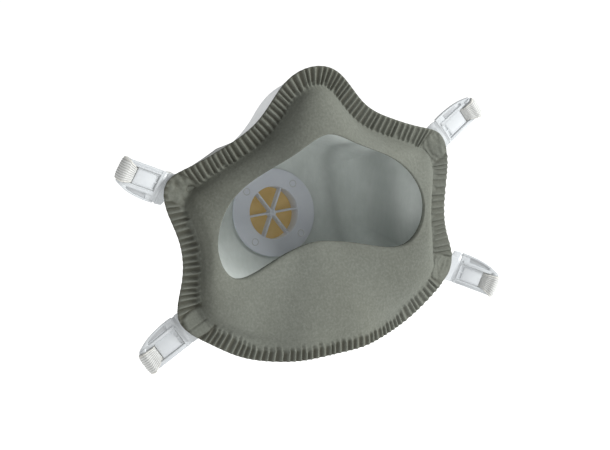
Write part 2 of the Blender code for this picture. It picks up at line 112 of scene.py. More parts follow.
def ring_base(count):
    """Rim points, smoothed inward directions and band widths, at count places."""
    fine, at, total = resample(closed_curve(RIM_HALF), 240)
    tangent = unit(np.roll(fine, -1, 0) - np.roll(fine, 1, 0))
    inward = np.stack([tangent[:, 2], np.zeros(240), -tangent[:, 0]], 1)
    flip = np.sign((-fine * inward).sum(1))
    inward = unit(smooth_ring(unit(inward) * np.median(flip), 60))
    if count <= 240:
        step = 240 // count
        rim, at, inward = fine[::step], at[::step], inward[::step]
    else:
        rim, at2, total = resample(closed_curve(RIM_HALF), count)
        idx = np.arange(count) * 240.0 / count
        i0 = np.floor(idx).astype(int) % 240
        f = (idx - np.floor(idx))[:, None]
        inward = unit(inward[i0] * (1 - f) + inward[(i0 + 1) % 240] * f)
        at = at2
    near = np.minimum(at, total - at)
    width = FLANGE_W + CORNER_EXTRA * sum(np.exp(-((near - c) / 11.0) ** 2) for c in CORNERS_AT)
    return rim, inward, width, at, total


def shell_grid(count=60, ts=(0.12, 0.28, 0.46, 0.64, 0.82, 1.0), shaped=False):
    rim, inward, width, at, total = ring_base(count)
    base_y = SEAL_T + GAP
    edge = rim + inward * LAYER_INSET + (0, base_y, 0)
    bend = rim + inward * width[:, None] + (0, base_y, 0)
    pad_c = VALVE_C + AXIS * (VALVE_T + GAP)
    angle = np.arctan2(bend[:, 0] - pad_c[0], (bend[:, 2] - pad_c[2]) / 1.05)
    ring_dir = np.sin(angle)[:, None] * SIDE + np.cos(angle)[:, None] * VUP
    pad = pad_c + ring_dir * PAD_R
    hole = pad_c + ring_dir * SHELL_HOLE_R
    nose = np.exp(-(rim[:, 0] / 24.0) ** 2) * np.clip((rim[:, 2] - 25.0) / 25.0, 0, 1)
    flank = np.exp(-((np.abs(rim[:, 0]) - 32.0) / 18.0) ** 2) * np.clip((rim[:, 2] - 15.0) / 15.0, 0, 1) * shaped
    lean = np.radians(36.0 - (20.0 if shaped else 34.0) * nose + 17.0 * flank)
    leave = inward * np.sin(lean)[:, None] + np.array([0, 1.0, 0]) * np.cos(lean)[:, None]
    reach = 27.0 + (2.0 if shaped else 6.0) * nose - 3.0 * flank
    span = np.linalg.norm(bend - pad, axis=1)
    p1 = bend + leave * reach[:, None]
    p2 = pad + ring_dir * (0.42 * span)[:, None]
    rows = [edge]
    if count > 60:
        rows.append(0.5 * (edge + bend))
        rows.append(0.12 * edge + 0.88 * bend)
    rows.append(bend)
    for t in ts:
        rows.append((1 - t)**3 * bend + 3 * (1 - t)**2 * t * p1 + 3 * (1 - t) * t**2 * p2 + t**3 * pad)
    if count > 60:
        rows.append(0.5 * (pad + hole))
    rows.append(hole)
    grid = np.array(rows)
    along = np.roll(grid, -1, 1) - np.roll(grid, 1, 1)
    across = np.empty_like(grid)
    across[1:-1] = unit(grid[2:] - grid[1:-1]) + unit(grid[1:-1] - grid[:-2])
    across[0] = grid[1] - grid[0]
    across[-1] = grid[-1] - grid[-2]
    normal = unit(np.cross(along, across))
    if normal[0, :, 1].mean() < 0:
        normal = -normal
    return rim, inward, width, at, total, grid, normal


# ------------------------------------------------------------------ mesh helpers
def make(name, verts, faces, body, mats, smooth=True, sharp=None, uvs=None):
    mesh = bpy.data.meshes.new(name)
    mesh.from_pydata([tuple(v) for v in np.asarray(verts, float) * MM], [], faces)
    bm = bmesh.new(); bm.from_mesh(mesh)
    bmesh.ops.recalc_face_normals(bm, faces=bm.faces)
    bm.to_mesh(mesh); bm.free()
    for m in (mats if isinstance(mats, (list, tuple)) else [mats]):
        mesh.materials.append(m)
    if smooth:
        mesh.shade_smooth()
        if sharp:
            mesh.set_sharp_from_angle(angle=math.radians(sharp))
    obj = bpy.data.objects.new(name, mesh)
    scene.collection.objects.link(obj)
    if body:
        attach(obj, body)
    return obj


def grid_faces(rows, count, offset=0, wrap=True, flip=False):
    r = np.arange(rows - 1)[:, None]; k = np.arange(count if wrap else count - 1)[None, :]
    a = (r * count + k + offset).ravel(); b = (r * count + (k + 1) % count + offset).ravel()
    f = np.stack([a, b, b + count, a + count], 1)
    return [tuple(q) for q in (f[:, ::-1] if flip else f).tolist()]


def loop_solid(name, lo, hi, body, mats, sharp=None):
    rows, count = lo.shape[:2]
    verts = np.vstack([lo.reshape(-1, 3), hi.reshape(-1, 3)])
    top = rows * count
    faces = grid_faces(rows, count) + grid_faces(rows, count, top, flip=True)
    for k in range(count):
        a, b = k, (k + 1) % count
        faces.append((a, top + a, top + b, b))
        a, b = (rows - 1) * count + k, (rows - 1) * count + (k + 1) % count
        faces.append((a, b, top + b, top + a))
    return make(name, verts, faces, body, mats, sharp=sharp)


def lathe(profile, segments=128, origin=VALVE_C, axis=AXIS, u=SIDE, v=VUP, close=True):
    n = len(profile)
    a = 2 * np.pi * np.arange(segments) / segments
    out = np.cos(a)[:, None] * u + np.sin(a)[:, None] * v
    verts = np.array([[origin + out[s] * r + axis * h for r, h in profile] for s in range(segments)]).reshape(-1, 3)
    faces = []
    last = n if close else n - 1
    for s in range(segments):
        for k in range(last):
            a0, b0 = s * n + k, s * n + (k + 1) % n
            c0, d0 = ((s + 1) % segments) * n + (k + 1) % n, ((s + 1) % segments) * n + k
            faces.append((a0, b0, c0, d0))
    return verts, faces


def rounded(points, r=0.3, steps=3):
    """Rounds the corners of a closed 2D polygon with small arcs (quadratic)."""
    pts = [np.array(p, float) for p in points]
    out = []
    n = len(pts)
    for i in range(n):
        p, a, b = pts[i], pts[i - 1], pts[(i + 1) % n]
        da, db = np.linalg.norm(a - p), np.linalg.norm(b - p)
        q = min(r, 0.45 * da, 0.45 * db)
        s, e = p + (a - p) / da * q, p + (b - p) / db * q
        for k in range(steps + 1):
            t = k / steps
            out.append(tuple((1 - t)**2 * s + 2 * (1 - t) * t * p + t**2 * e))
    return out


def join_parts(parts):
    verts, faces, off = [], [], 0
    for v, f in parts:
        verts.append(np.asarray(v, float)); faces += [tuple(i + off for i in q) for q in f]; off += len(v)
    return np.vstack(verts), faces


def prism_part(origin, ax, ay, az, outline, z0, z1, bevel=0.25):
    """A plate with softly rounded top and bottom edges."""
    o = np.array(outline, float)
    c = o.mean(0)
    nxt, prv = np.roll(o, -1, 0), np.roll(o, 1, 0)
    t = unit(nxt - prv)
    nrm = np.stack([t[:, 1], -t[:, 0]], 1)
    area = 0.5 * np.sum(o[:, 0] * nxt[:, 1] - nxt[:, 0] * o[:, 1])
    if area < 0:
        nrm = -nrm
    layers = [(z0, bevel), (z0 + bevel * 0.3, bevel * 0.3), (z0 + bevel, 0), (z1 - bevel, 0), (z1 - bevel * 0.3, bevel * 0.3), (z1, bevel)]
    n = len(o)
    verts = []
    for z, inset in layers:
        q = o - nrm * inset
        verts += [origin + ax * x + ay * y + az * z for x, y in q]
    faces = [tuple(range(n - 1, -1, -1)), tuple(range((len(layers) - 1) * n, len(layers) * n))]
    for l in range(len(layers) - 1):
        for k in range(n):
            a, b = l * n + k, l * n + (k + 1) % n
            faces.append((a, b, b + n, a + n))
    return verts, faces


def tube_part(points, radius, sides=16):
    pts = np.asarray(points, float)
    tan = unit(np.gradient(pts, axis=0))
    ref = np.array([0.3, 0.2, 1.0])
    verts, n = [], len(pts)
    for p, t in zip(pts, tan):
        u = unit(np.cross(t, ref)); v = np.cross(t, u)
        for k in range(sides):
            a = 2 * math.pi * k / sides
            verts.append(p + (u * math.cos(a) + v * math.sin(a)) * radius)
    faces = grid_faces(n, sides)
    faces.append(tuple(range(sides))); faces.append(tuple(range(n * sides - 1, (n - 1) * sides - 1, -1)))
    return verts, faces


# ------------------------------------------------------------------ materials
def srgb(*c):
    out = []
    for v in c:
        v = v / 255.0
        out.append(v / 12.92 if v <= 0.04045 else ((v + 0.055) / 1.055) ** 2.4)
    return (*out, 1.0)


def new_mat(name, rough=0.8, metallic=0.0, **inputs):
    m = bpy.data.materials.new(name); m.use_nodes = True
    nt = m.node_tree; bsdf = nt.nodes["Principled BSDF"]
    bsdf.inputs["Roughness"].default_value = rough
    bsdf.inputs["Metallic"].default_value = metallic
    for k, v in inputs.items():
        bsdf.inputs[k.replace("_", " ")].default_value = v
    return m, nt, bsdf


def coords(nt, scale=(1, 1, 1)):
    tc = nt.nodes.new("ShaderNodeTexCoord")
    mp = nt.nodes.new("ShaderNodeMapping"); mp.inputs["Scale"].default_value = scale
    nt.links.new(tc.outputs["Object"], mp.inputs["Vector"])
    return mp.outputs["Vector"]


def noise(nt, vec, scale, detail=3.0, rough=0.55):
    n = nt.nodes.new("ShaderNodeTexNoise")
    n.inputs["Scale"].default_value = scale; n.inputs["Detail"].default_value = detail; n.inputs["Roughness"].default_value = rough
    nt.links.new(vec, n.inputs["Vector"])
    return n.outputs["Fac"]


def ramp(nt, fac, stops):
    r = nt.nodes.new("ShaderNodeValToRGB")
    while len(r.color_ramp.elements) < len(stops):
        r.color_ramp.elements.new(0.5)
    for e, (p, c) in zip(r.color_ramp.elements, stops):
        e.position = p; e.color = c
    nt.links.new(fac, r.inputs["Fac"])
    return r.outputs["Color"]


def mix(nt, fac, a, b, mode="MIX"):
    m = nt.nodes.new("ShaderNodeMix"); m.data_type = "RGBA"; m.blend_type = mode
    for sock, val in ((m.inputs[0], fac), (m.inputs[6], a), (m.inputs[7], b)):
        if hasattr(val, "is_linked") or hasattr(val, "links"):
            nt.links.new(val, sock)
        else:
            sock.default_value = val
    return m.outputs[2]


def bump(nt, bsdf, fac, strength, distance, prev=None):
    b = nt.nodes.new("ShaderNodeBump")
    b.inputs["Strength"].default_value = strength; b.inputs["Distance"].default_value = distance
    nt.links.new(fac, b.inputs["Height"])
    if prev is not None:
        nt.links.new(prev, b.inputs["Normal"])
    nt.links.new(b.outputs["Normal"], bsdf.inputs["Normal"])
    return b.outputs["Normal"]


def foam_material():
    m, nt, bsdf = new_mat("foam_seal", rough=0.93)
    bsdf.inputs["Specular IOR Level"].default_value = 0.18
    vec = coords(nt)
    fine = noise(nt, vec, 900.0, 2.0)
    mid = noise(nt, vec, 260.0, 4.0, 0.65)
    big = noise(nt, vec, 18.0, 2.0)
    c = ramp(nt, mid, [(0.28, srgb(102, 105, 97)), (0.5, srgb(106, 109, 101)), (0.74, srgb(111, 114, 106))])
    c = mix(nt, 0.55, c, ramp(nt, fine, [(0.3, srgb(94, 97, 89)), (0.52, srgb(106, 109, 101)), (0.72, srgb(119, 122, 115))]))
    c = mix(nt, 0.14, c, ramp(nt, big, [(0.35, srgb(98, 98, 86)), (0.65, srgb(116, 120, 116))]))
    # crimped ribs: painted shade from the rib attribute darkens the grooves between the crests, the puckers, the weld
    # grooves and the left side of the seal, mixing toward a dark yellowish grey; the crests keep the base colour
    at = nt.nodes.new("ShaderNodeAttribute"); at.attribute_name = "rib"
    c = mix(nt, at.outputs["Fac"], c, mix(nt, 0.8, c, srgb(70, 69, 60)))
    nt.links.new(c, bsdf.inputs["Base Color"])
    p = bump(nt, bsdf, fine, 0.35, 0.0004)
    bump(nt, bsdf, mid, 0.15, 0.0005, p)
    return m


def shell_material(name, a, b, warm=0.0):
    m, nt, bsdf = new_mat(name, rough=0.85)
    bsdf.inputs["Specular IOR Level"].default_value = 0.2
    vec = coords(nt)
    fib = noise(nt, coords(nt, (1.0, 1.0, 0.25)), 520.0, 5.0, 0.7)
    mid = noise(nt, vec, 130.0, 3.0)
    c = mix(nt, 0.5, ramp(nt, fib, [(0.3, a), (0.7, b)]), ramp(nt, mid, [(0.35, a), (0.65, b)]))
    if name == "inner_shell_felt":
        # painted shade along the pleat folds of the inner felt
        at = nt.nodes.new("ShaderNodeAttribute"); at.attribute_name = "pleat_shade"
        c = mix(nt, at.outputs["Fac"], c, mix(nt, 0.42, c, srgb(90, 96, 93)))
    nt.links.new(c, bsdf.inputs["Base Color"])
    p = bump(nt, bsdf, fib, 0.25, 0.0003)
    bump(nt, bsdf, mid, 0.15, 0.0005, p)
    return m


def plastic_material(name, a, b, rough=0.38, sss=0.0, trans=0.0, bump_s=0.05):
    m, nt, bsdf = new_mat(name, rough=rough)
    vec = coords(nt)
    cloud = noise(nt, vec, 60.0, 3.0)
    grain = noise(nt, vec, 1400.0, 2.0)
    nt.links.new(ramp(nt, cloud, [(0.35, a), (0.65, b)]), bsdf.inputs["Base Color"])
    r = nt.nodes.new("ShaderNodeMapRange")
    r.inputs["From Min"].default_value = 0.3; r.inputs["From Max"].default_value = 0.7
    r.inputs["To Min"].default_value = rough - 0.06; r.inputs["To Max"].default_value = rough + 0.1
    nt.links.new(grain, r.inputs["Value"]); nt.links.new(r.outputs["Result"], bsdf.inputs["Roughness"])
    bump(nt, bsdf, grain, bump_s, 0.0002)
    if sss:
        bsdf.inputs["Subsurface Weight"].default_value = sss
        bsdf.inputs["Subsurface Radius"].default_value = (0.003, 0.003, 0.003)
        bsdf.inputs["Subsurface Scale"].default_value = 1.0
    if trans:
        bsdf.inputs["Transmission Weight"].default_value = trans
        bsdf.inputs["IOR"].default_value = 1.3
    return m


def elastic_material():
    m, nt, bsdf = new_mat("elastic_strap", rough=0.8)
    bsdf.inputs["Specular IOR Level"].default_value = 0.25
    vec = coords(nt)
    fine = noise(nt, vec, 1500.0, 3.0)
    at = nt.nodes.new("ShaderNodeAttribute"); at.attribute_name = "rib"
    ed = nt.nodes.new("ShaderNodeAttribute"); ed.attribute_name = "edge"
    # painted shade: the rib grooves of the elastic are darker than the crests
    c = ramp(nt, at.outputs["Fac"], [(0.0, srgb(150, 151, 148)), (0.45, srgb(182, 183, 180)), (1.0, srgb(198, 199, 197))])
    c = mix(nt, 0.25, c, ramp(nt, fine, [(0.3, srgb(164, 165, 161)), (0.7, srgb(200, 201, 199))]))
    c = mix(nt, ed.outputs["Fac"], c, srgb(206, 200, 184))
    nt.links.new(c, bsdf.inputs["Base Color"])
    bump(nt, bsdf, fine, 0.3, 0.0003)
    return m


M_FOAM = foam_material()
M_INNER = shell_material("inner_shell_felt", srgb(188, 194, 190), srgb(203, 208, 205))
M_OUTER = shell_material("outer_shell_felt", srgb(208, 211, 212), srgb(222, 224, 225))
M_MEDIA = shell_material("filter_media_felt", srgb(222, 223, 220), srgb(236, 237, 235))
M_VALVE = plastic_material("valve_base_plastic", srgb(196, 200, 210), srgb(204, 208, 216), rough=0.42)
M_COVER = plastic_material("valve_cover_plastic", srgb(200, 203, 206), srgb(208, 211, 214), rough=0.4)
M_BUCKLE = plastic_material("buckle_plastic", srgb(172, 176, 179), srgb(180, 184, 186), rough=0.34)
M_LOCK = plastic_material("lock_plastic", srgb(177, 181, 184), srgb(186, 190, 192), rough=0.34)
# a darker copy of the buckle plastic: painted shade for the wing recesses and the pin marks
M_RECESS_SHADE = plastic_material("buckle_recess_shade", srgb(158, 161, 163), srgb(166, 169, 171), rough=0.4)
M_ELASTIC = elastic_material()
M_CLIP = plastic_material("nose_clip_coat", srgb(196, 199, 203), srgb(206, 209, 212), rough=0.35)


def disc_material():
    m, nt, bsdf = new_mat("valve_disc_rubber", rough=0.45)
    vec = coords(nt)
    big = noise(nt, vec, 90.0, 2.0)
    nt.links.new(ramp(nt, big, [(0.3, srgb(196, 168, 104)), (0.55, srgb(208, 184, 124)), (0.75, srgb(218, 200, 150))]), bsdf.inputs["Base Color"])
    bump(nt, bsdf, big, 0.15, 0.0004)
    # painted light: the diaphragm glows a faint warm yellow
    bsdf.inputs["Emission Color"].default_value = srgb(188, 160, 108); bsdf.inputs["Emission Strength"].default_value = 0.16
    return m


M_DISC = disc_material()


for painted_glow_mat, painted_glow in ((M_BUCKLE, 0.13), (M_LOCK, 0.13), (M_RECESS_SHADE, 0.1), (M_ELASTIC, 0.07), (M_OUTER, 0.17), (M_INNER, 0.035), (M_VALVE, 0.04), (M_CLIP, 0.06)):
    # painted light: a faint glow on the felt, plastic, elastic and nose clip materials stands in for light passing
    # through the thin white felt and plastic and fills their shade
    shader = painted_glow_mat.node_tree.nodes["Principled BSDF"]
    shader.inputs["Emission Color"].default_value = (0.92, 1.0, 0.98, 1) if painted_glow_mat is M_INNER else (0.97, 0.99, 1.0, 1)
    shader.inputs["Emission Strength"].default_value = painted_glow


def paint(obj, name, values):
    attr = obj.data.attributes.new(name, "FLOAT", "POINT")
    attr.data.foreach_set("value", np.asarray(values, np.float32))


# ------------------------------------------------------------------ face seal
def smoothstep(x, a, b):
    t = np.clip((x - a) / (b - a), 0, 1)
    return t * t * (3 - 2 * t)


def dents(a, b, seed, n, sa, sb, amp):
    """A crumpled patch: a few bumps and pits of uneven size."""
    r = np.random.RandomState(seed)
    out = np.zeros_like(a)
    for _ in range(n):
        ca, cb, t = r.uniform(-5.5, 5.5), r.uniform(-5.5, 5.5), r.uniform(-0.5, 0.5)
        u, v = (a - ca) * math.cos(t) + (b - cb) * math.sin(t), (b - cb) * math.cos(t) - (a - ca) * math.sin(t)
        out = out + r.choice([-1.0, 1.0]) * r.uniform(0.5, 1.0) * amp * np.exp(-(u / sa) ** 2 - (v / sb) ** 2)
    return out


def build_seal():
    count = 1280
    rim, inward, width, at, total = ring_base(count)
    bean = resample(closed_curve(BEAN_HALF), count)[0]
    ribs = 158
    # rib phase with slightly uneven pitch
    steps = 1.0 + 0.16 * RNG.randn(ribs)
    marks = np.concatenate([[0], np.cumsum(np.clip(steps, 0.6, 1.5))]); marks *= total / marks[-1]
    phase = np.interp(at, marks, np.arange(ribs + 1))
    which = np.floor(phase).astype(int) % ribs
    length = (7.6 + 0.7 * RNG.randn(ribs))[which]
    frac = phase - np.floor(phase)
    crest = 0.5 + 0.5 * np.cos(2 * np.pi * frac)          # 1 at the crest
    crest = np.power(crest, 1.5)
    amp_r = (0.72 + 0.16 * RNG.rand(ribs))[which]
    pit = RNG.rand(ribs, 3)
    flank = np.exp(-((np.abs(rim[:, 0]) - 27.0) / 13.0) ** 2) * np.clip((rim[:, 2] - 20.0) / 15.0, 0, 1)
    length = length + 2.6 * flank
    scale_w = width / FLANGE_W
    # chin has a narrower band
    chin = smoothstep(-rim[:, 2], 50, 60)
    band = width * (1 - 0.28 * chin)
    rows_t = np.concatenate([np.linspace(0, 1, 18) * 1.0])  # across the band
    pts, rib_w = [], []
    n_y = np.array([0, -1.0, 0])
    welds = {"ll": (-63.6, -35.0), "ul": (-64.5, 25.7), "ur": (67.6, 25.7), "lr": (66.0, -34.5)}
    for j, t in enumerate(rows_t):
        d = t * width
        p = rim + inward * d[:, None]
        fade = 1 - smoothstep(d, length * scale_w * (1 - 0.25 * chin) - 1.2, length * scale_w * (1 - 0.25 * chin) + 0.6)
        pts.append([p, d, fade])
    front, attr = [], []
    for p, d, fade in pts:
        h = amp_r * (crest - 0.4) * 1.5 * fade
        # painted shade in the rib grooves, strongest midway between crests and fading where the ribs run out
        rib_painted_shade = (1 - crest) * fade
        # puckers where the crimped ribs run out
        end_at = length * scale_w * (1 - 0.25 * chin) + 0.6
        puck = np.exp(-((d - end_at - 0.9 * (pit[which, 0] - 0.5)) / 0.75) ** 2) * (0.35 + 0.65 * pit[which, 1])
        left_side = 0.35 + 0.65 * (1 - smoothstep(p[:, 0], -10, 25))
        h = h + puck * left_side * (0.45 * np.cos(2 * np.pi * (frac - 0.15)) - 0.2)
        # painted shade in the pucker folds
        rib_painted_shade = np.maximum(rib_painted_shade, 0.55 * puck * left_side * (0.5 - 0.5 * np.cos(2 * np.pi * (frac - 0.15))))
        edge_soft = 1 - 0.45 * np.exp(-(d / 0.6) ** 2)
        h = h * edge_soft
        # welded corners
        for key, (wx, wz) in welds.items():
            hinge, dd, ww, nn = buckle_axes(key)
            ex = unit(np.array([dd[0], 0, dd[2]])); ez = np.array([-ex[2], 0, ex[0]])
            rel = p - np.array([wx, 0, wz])
            a, b = rel @ ex, rel @ ez
            r = np.maximum(np.abs(a), np.abs(b)) * 0.6 + 0.4 * np.sqrt(a * a + b * b)
            inside = 1 - smoothstep(r, 6.0, 7.0)
            groove = np.exp(-((r - 6.5) / 0.65) ** 2)
            if key == "ll":
                tex = 0.25 - 0.45 * np.exp(-((b - 0.6) / 0.45) ** 2) - 0.25 * np.exp(-((a + 3.0) / 0.4) ** 2)
            elif key == "ul":
                tex = dents(a, b, 21, 16, 1.3, 1.1, 0.75)
                groove = groove * 0.3
            else:
                tex = dents(a, b, 5 if key == "ur" else 9, 16, 0.6, 2.6, 0.6)
                groove = groove * 0.7
            h = h * (1 - inside) + inside * (tex * 0.8 - 0.1) - 0.75 * groove
            # painted shade in each weld's border groove and in its pits
            rib_painted_shade = rib_painted_shade * (1 - inside) + inside * np.clip(0.35 - tex, 0, 1) * 0.75 + 1.0 * groove
        # painted light: the rib shade is weakened toward +x, the side the key lamp lights
        rib_painted_shade = rib_painted_shade * (1 - 0.6 * smoothstep(p[:, 0], 5, 60))
        front.append(p + n_y * h[:, None]); attr.append(np.clip(rib_painted_shade, 0, 1))
    # membrane to the opening; first a shallow channel beside the band, then the soft bow
    band_in = rim + inward * width[:, None]
    for t in np.linspace(0, 1, 26)[1:]:
        p = band_in * (1 - t) + bean * t - np.array([0, 1.0, 0]) * (2.9 * math.sin(math.pi * t ** 0.62))
        p = p + np.array([0, 1.0, 0]) * ((0.15 + 0.95 * (1 - smoothstep(band_in[:, :1], -10, 25))) * math.exp(-((t - 0.05) / 0.05) ** 2))
        # painted shade on the left part of the membrane next to the band
        front.append(p); attr.append(0.3 * (1 - smoothstep(p[:, 0], -66, -36)) * (1 - smoothstep(np.full(count, t), 0.5, 1.0)))
    front = np.array(front); attr = np.array(attr)
    # rounded cut edge at the opening and at the rim
    back = []
    nrows = len(front)
    smooth_front = front.copy()
    for j, t in enumerate(rows_t):
        smooth_front[j] = rim + inward * (t * width)[:, None]
    thick = np.concatenate([np.full(len(rows_t), SEAL_T), np.linspace(SEAL_T, SEAL_SOFT_T, 8), np.full(nrows - len(rows_t) - 8, SEAL_SOFT_T)])
    back = smooth_front + thick[:, None, None] * np.array([0, 1.0, 0])
    step = 4
    bk = back[::3][:, ::1]
    # outer surface list: front rows, then the back rows reversed, closed as one tube
    lip = 0.5 * (front[-1] + back[-1]) - 0.0
    to_c = unit(bean - bean.mean(0)) * -1
    lip_in = lip + to_c * 0.45
    rim_mid = 0.5 * (front[0] + back[0]) - inward * 0.25
    back_rows = back[::-3]
    rows = np.concatenate([front, lip_in[None], back_rows, rim_mid[None]])
    at_rows = np.concatenate([attr, np.zeros((1 + len(back_rows), count)), attr[:1] * 0.6])
    n_rows = len(rows)
    verts = rows.reshape(-1, 3)
    faces = grid_faces(n_rows, count)
    a = (n_rows - 1) * count
    for k in range(count):
        k2 = (k + 1) % count
        faces.append((a + k, a + k2, k2, k))
    obj = make("face_seal_foam", verts, faces, "mask", M_FOAM)
    paint(obj, "rib", at_rows.reshape(-1))
    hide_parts("face_seal")
    return obj


def buckle_axes(key):
    end, direction, normal, wing = BUCKLES[key]
    n = unit(normal)
    d = unit(np.array(direction) - n * (n @ np.array(direction)))
    w = np.cross(n, d)
    return np.array(end) - d * HINGE_TO_ROLL, d, w * wing, n


def build_shells():
    ts = tuple(np.linspace(0, 1, 27)[1:])
    rim, inward, width, at, total, grid, normal = shell_grid(480, ts, True)
    rows = len(grid)
    row_t = np.concatenate([[0, 0, 0, 0], np.linspace(0, 1, 27)[1:], [1, 1]])
    blend = smoothstep(row_t, 0.0, 0.12)[:, None, None]
    surf = {}
    for name, ((r0, r1), (c0, c1)) in LAYERS.items():
        lo = grid + normal * (r0 + (c0 - r0) * blend)
        hi = grid + normal * (r1 + (c1 - r1) * blend)
        if name == "inner_shell":
            # soft upright pleats of the moulded felt, on the wearer's right wall
            x = lo[:, :, 0]; y = lo[:, :, 1]
            wave = 0.5 * np.exp(-((x - 33.0) / 3.6) ** 2) + 0.7 * np.exp(-((x - 47.5) / 3.4) ** 2) - 0.4 * np.exp(-((x - 41.0) / 3.0) ** 2)
            mask = smoothstep(row_t, 0.12, 0.3)[:, None] * (1 - smoothstep(row_t, 0.8, 0.97))[:, None]
            lo = lo + normal * (wave * mask * 0.9)[:, :, None]
        mat = {"inner_shell": M_INNER, "filter_media": M_MEDIA, "outer_shell": M_OUTER}[name]
        piece = {"inner_shell": "inner_shell_felt", "filter_media": "filter_media_layer", "outer_shell": "outer_shell_felt"}[name]
        if name == "outer_shell":
            # a moulded step round the cup and a soft dimple texture
            band = np.exp(-((row_t - 0.16) / 0.04) ** 2)[:, None]
            hi = hi - normal * (0.35 * band)[:, :, None]
        obj = loop_solid(piece, lo, hi, "mask", mat)
        if name == "inner_shell":
            x = lo[:, :, 0]
            # painted shade in the pleat folds, darker bands along x = 33 and x = 50
            shade = (0.8 * np.exp(-((x - 33.0) / 3.2) ** 2) + 1.0 * np.exp(-((x - 50.0) / 4.2) ** 2)) * smoothstep(row_t, 0.1, 0.3)[:, None]
            paint(obj, "pleat_shade", np.concatenate([shade.ravel(), shade.ravel() * 0]))
        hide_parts(name)
        surf[name] = (lo, hi)
    return surf, grid, normal


# ------------------------------------------------------------------ valve
def build_valve():
    parts = [lathe(rounded([(13.1, 0.0), (22.0, 0.0), (22.0, VALVE_T), (15.0, VALVE_T), (15.0, SEAT_A), (13.1, SEAT_A)], 0.35))]
    # hub with a small dimple
    parts.append(lathe([(0.001, 1.75), (0.35, 1.7), (0.55, 1.35), (1.2, 1.3), (1.75, 1.55), (1.95, 2.2), (2.1, 5.6), (0.001, 5.7)], 40, close=False))
    for k in range(6):
        a = math.radians(60 * k)
        out = math.cos(a) * SIDE + math.sin(a) * VUP
        cross = np.cross(AXIS, out)
        prof = []
        for r in (1.4, 13.4):
            for (s, h) in ((-0.62, 5.6), (-0.42, 1.75), (-0.2, 1.6), (0.2, 1.6), (0.42, 1.75), (0.62, 5.6)):
                prof.append(VALVE_C + out * r + cross * s + AXIS * h)
        f = [(i, (i + 1) % 6, 6 + (i + 1) % 6, 6 + i) for i in range(6)] + [tuple(range(5, -1, -1)), tuple(range(6, 12))]
        parts.append((prof, f))
    v, f = join_parts(parts)
    obj = make("valve_base_moulding", v, f, "mask", M_VALVE, sharp=40)
    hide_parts("valve_base")
    # ejector pin marks: shallow raised rings on the flange, in the darker plastic as painted shade
    rings = []
    for sx in (-1, 1):
        for sz in (-1, 1):
            a = math.radians(45 if sx * sz > 0 else 135)
            c = VALVE_C + SIDE * (12.6 * sx) + VUP * (12.6 * sz)
            rings.append(lathe([(1.4, 0.02), (1.55, -0.16), (1.75, -0.16), (1.9, 0.02)], 32, origin=c))
    v, f = join_parts(rings)
    obj = make("valve_pin_marks", v, f, "mask", M_RECESS_SHADE)
    # diaphragm: a soft disc with a low crown and radial tension creases
    prof = [(r, SEAT_A + GAP + 0.05 - 0.18 * math.cos(math.pi * r / 14.6)) for r in np.linspace(0.001, 14.5, 16)]
    back = [(r, h + 0.5) for r, h in prof[::-1]]
    v, f = lathe(prof + [(14.6, SEAT_A + GAP + 0.4)] + back, 96, close=False)
    v = np.array(v)
    rel = v - VALVE_C
    ang = np.arctan2(rel @ VUP, rel @ SIDE); rad = np.hypot(rel @ VUP, rel @ SIDE)
    v = v + AXIS * (0.10 * np.sin(6 * ang) * smoothstep(rad, 2, 12))[:, None]
    obj = make("valve_disc_flap", v, f, "valve_disc", M_DISC)
    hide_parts("valve_diaphragm")
    face = VALVE_T + GAP + LAYERS["outer_shell"][1][1] + GAP
    v, f = lathe(rounded([(15.4, face), (24.0, face), (24.0, face + 1.4), (17.0, face + 1.4), (17.0, SEAT_A + 0.2), (15.4, SEAT_A + 0.2)], 0.3))
    obj = make("valve_housing_ring", v, f, "mask", M_COVER, sharp=40)
    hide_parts("valve_housing")
    s0 = face + 1.4 + GAP
    parts = [lathe(rounded([(0.6, 14.1), (22.3, 14.1), (22.3, 13.4), (24.0, 13.4), (24.0, 14.8), (22.8, 15.6), (14.5, 15.6), (14.2, 15.3), (13.2, 15.3), (12.9, 15.6), (0.6, 15.6)], 0.3)),
             lathe([(0.001, 14.1), (0.7, 14.1), (0.7, 15.6), (0.001, 15.6)], 24, close=False),
             lathe(rounded([(22.4, s0), (24.0, s0), (24.0, s0 + 1.6), (22.4, s0 + 1.6)], 0.3))]
    for k in range(48):
        if k % 8 in (0, 1, 7) or k % 2 == 0:
            a = math.radians(7.5 * k)
            out = math.cos(a) * SIDE + math.sin(a) * VUP; cross = np.cross(AXIS, out)
            wdt = 0.7
            prof = [VALVE_C + out * r + cross * s + AXIS * h for h in (s0 + 1.0, 13.8) for r, s in ((22.5, -wdt), (23.8, -wdt), (23.8, wdt), (22.5, wdt))]
            parts.append((prof, [(0, 1, 2, 3), (7, 6, 5, 4), (0, 4, 5, 1), (1, 5, 6, 2), (2, 6, 7, 3), (3, 7, 4, 0)]))
    v, f = join_parts(parts)
    obj = make("valve_cover_cap", v, f, "mask", M_COVER, sharp=35)
    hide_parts("valve_cover")


